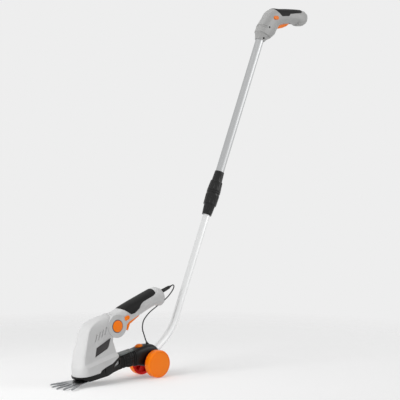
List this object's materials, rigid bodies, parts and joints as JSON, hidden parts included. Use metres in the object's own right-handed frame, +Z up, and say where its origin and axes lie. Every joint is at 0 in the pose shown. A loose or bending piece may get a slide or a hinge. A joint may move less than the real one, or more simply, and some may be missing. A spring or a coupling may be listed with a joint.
{
  "type": "grass shears on a wheeled pole",
  "caption": "Cordless grass shears with a fan of blades, clipped on a two-wheel trolley whose telescopic pole carries a second trigger handle",
  "frame": {"origin": "on the ground, midway between the wheels under their axle", "axes": "+Z up, -X towards the blades, +X towards the leaning pole, -Y the left side"},
  "size_m": [0.8769, 0.0934, 1.001],
  "materials": {
    "abs_light_grey": "satin moulded",
    "tpe_black": "matt textured",
    "nylon_black": "fine spark-eroded texture",
    "nylon_dark_grey": "fine spark-eroded texture",
    "abs_orange": "semi-gloss moulded",
    "aluminium_tube": "drawn, satin",
    "blade_steel": "ground",
    "plain_steel": "zinc plated",
    "motor_steel": "plated can",
    "cell_wrap": null,
    "pvc_black": "smooth"
  },
  "bodies": {
    "trolley_and_tool": {"trolley_left": "nylon_black", "trolley_right": "nylon_black", "trolley_arm": "nylon_black", "latch_plate": "nylon_dark_grey", "release_spring": "plain_steel", "axle": "plain_steel", "axle_clips": "plain_steel", "lower_tube": "aluminium_tube", "tube_bush": "nylon_black", "body_left": "abs_light_grey", "body_right": "abs_light_grey", "side_panels": "nylon_black", "foot": "nylon_black", "fixed_blade": "blade_steel", "blade_pivot": "plain_steel", "blade_screws": "plain_steel", "gear_plate": "plain_steel", "motor": "motor_steel", "body_screws": "plain_steel", "cord": "pvc_black", "cord_gland": "nylon_black", "trolley_screws": "plain_steel"},
    "wheel_left_body": {"wheel_left": "abs_orange", "wheel_cap_left": "abs_orange"},
    "wheel_right_body": {"wheel_right": "abs_orange", "wheel_cap_right": "abs_orange"},
    "release_body": {"release_button": "abs_orange"},
    "pole_body": {"upper_tube": "aluminium_tube", "clamp_collet": "nylon_dark_grey", "clamp_sleeve": "nylon_black", "upper_handle_left": "abs_light_grey", "upper_handle_right": "abs_light_grey", "upper_grip": "tpe_black", "upper_switch": "nylon_black", "upper_screws": "plain_steel"},
    "nut_body": {"clamp_nut": "nylon_black"},
    "upper_trigger_body": {"upper_trigger": "abs_orange"},
    "upper_lock_body": {"upper_lock_off": "abs_orange"},
    "handle_body": {"handle_left": "abs_light_grey", "handle_right": "abs_light_grey", "handle_grip": "tpe_black", "pivot_sleeve": "plain_steel", "hub_spring": "plain_steel", "tool_switch": "nylon_black", "battery_cells": "cell_wrap", "charge_socket": "nylon_black", "cord_plug": "pvc_black", "handle_screws": "plain_steel"},
    "hub_button_body": {"hub_button": "abs_orange"},
    "tool_trigger_body": {"tool_trigger": "abs_orange"},
    "tool_lock_body": {"tool_lock_off": "abs_orange"},
    "crank_body": {"crank_gear": "plain_steel"},
    "pinion_body": {"motor_pinion": "plain_steel"},
    "cutter_body": {"moving_blade": "blade_steel"}
  },
  "joints": [
    {"name": "wheel_left_spin", "type": "hinge", "parent": "trolley_and_tool", "child": "wheel_left_body", "pos_m": [0, -0.0333, 0.035], "axis": [0, 1, 0], "continuous": true},
    {"name": "wheel_right_spin", "type": "hinge", "parent": "trolley_and_tool", "child": "wheel_right_body", "pos_m": [0, 0.0333, 0.035], "axis": [0, 1, 0], "continuous": true},
    {"name": "release_press", "type": "slide", "parent": "trolley_and_tool", "child": "release_body", "axis": [0.2419, 0, -0.9703], "range_m": [0, 0.003], "stiffness_N_per_m": 400, "springref_m": -0.003, "deforming": ["release_spring"]},
    {"name": "pole_slide", "type": "slide", "parent": "trolley_and_tool", "child": "pole_body", "axis": [0.3827, 0, 0.9239], "range_m": [-0.2, 0.15]},
    {"name": "clamp_twist", "type": "hinge", "parent": "pole_body", "child": "nut_body", "pos_m": [0.21092, 0, 0.43696], "axis": [0.3827, 0, 0.9239], "range_deg": [0, 90]},
    {"name": "upper_trigger_pull", "type": "hinge", "parent": "pole_body", "child": "upper_trigger_body", "pos_m": [0.51285, 0, 0.961], "axis": [0, 1, 0], "range_deg": [0, 8], "stiffness_Nm_per_rad": 0.3, "springref_deg": -14.32},
    {"name": "upper_lock_push", "type": "slide", "parent": "pole_body", "child": "upper_lock_body", "axis": [0, 1, 0], "range_m": [-0.002, 0.002], "stiffness_N_per_m": 400},
    {"name": "handle_tilt", "type": "hinge", "parent": "trolley_and_tool", "child": "handle_body", "pos_m": [-0.121, 0, 0.14], "axis": [0, -1, 0], "range_deg": [0, 20], "deforming": ["cord"]},
    {"name": "hub_button_press", "type": "slide", "parent": "handle_body", "child": "hub_button_body", "axis": [0, 1, 0], "range_m": [0, 0.0025], "stiffness_N_per_m": 400, "springref_m": -0.003, "deforming": ["hub_spring"]},
    {"name": "tool_trigger_pull", "type": "hinge", "parent": "handle_body", "child": "tool_trigger_body", "pos_m": [-0.042, 0, 0.163], "axis": [0, 1, 0], "range_deg": [0, 9], "stiffness_Nm_per_rad": 0.3, "springref_deg": -14.32},
    {"name": "tool_lock_push", "type": "slide", "parent": "handle_body", "child": "tool_lock_body", "axis": [0, 1, 0], "range_m": [-0.002, 0.002], "stiffness_N_per_m": 400},
    {"name": "crank_spin", "type": "hinge", "parent": "trolley_and_tool", "child": "crank_body", "pos_m": [-0.17949, 0, 0.01626], "axis": [-0.1478, 0, 0.989], "continuous": true},
    {"name": "pinion_spin", "type": "hinge", "parent": "trolley_and_tool", "child": "pinion_body", "pos_m": [-0.15971, 0, 0.01921], "axis": [-0.1478, 0, 0.989], "continuous": true},
    {"name": "blade_swing", "type": "hinge", "parent": "trolley_and_tool", "child": "cutter_body", "pos_m": [-0.20026, 0, 0.01316], "axis": [-0.1478, 0, 0.989], "range_deg": [-6, 6]}
  ],
  "couplings": [
    {"joint": "pinion_spin", "follows": "crank_spin", "ratio": -4}
  ]
}
